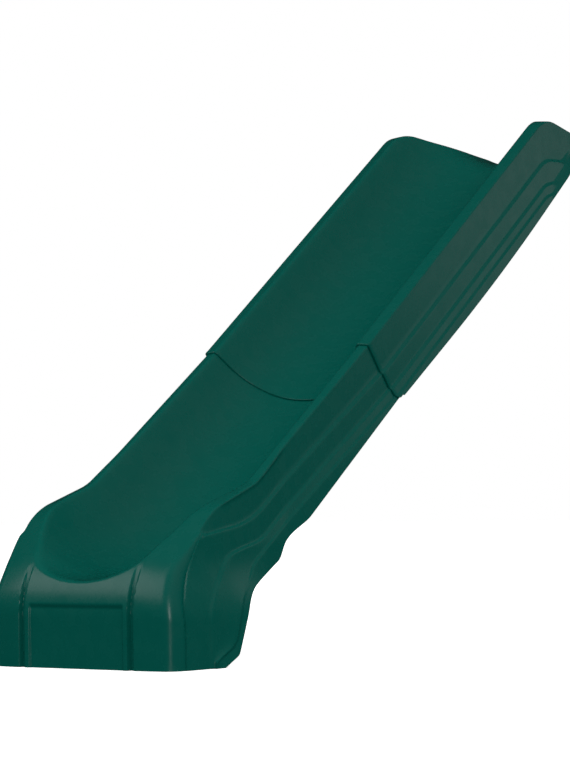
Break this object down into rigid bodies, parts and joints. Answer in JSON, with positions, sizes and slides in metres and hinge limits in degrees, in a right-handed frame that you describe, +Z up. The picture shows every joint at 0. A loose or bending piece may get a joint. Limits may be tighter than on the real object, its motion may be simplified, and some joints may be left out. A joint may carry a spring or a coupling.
{
  "type": "straight slide",
  "caption": "Straight playground slide in two lapped double-walled mouldings, with a round trough, stepped side walls, a boxed foot and a flat lip that screws to a deck.",
  "frame": {"origin": "centre of the bounding box's base, on the ground", "axes": "+Y from the foot to the top, +X across the slide, +Z up"},
  "size_m": [0.5654, 1.9034, 1.3025],
  "materials": {
    "moulded_polyethylene": "semi-gloss moulded skin, green",
    "zinc_plated_steel": "zinc plated"
  },
  "bodies": {
    "root": {"lower_section": "moulded_polyethylene", "upper_section": "moulded_polyethylene", "seam_bolts": "zinc_plated_steel", "seam_washers": "zinc_plated_steel", "seam_lock_nuts": "zinc_plated_steel"}
  },
  "joints": []
}
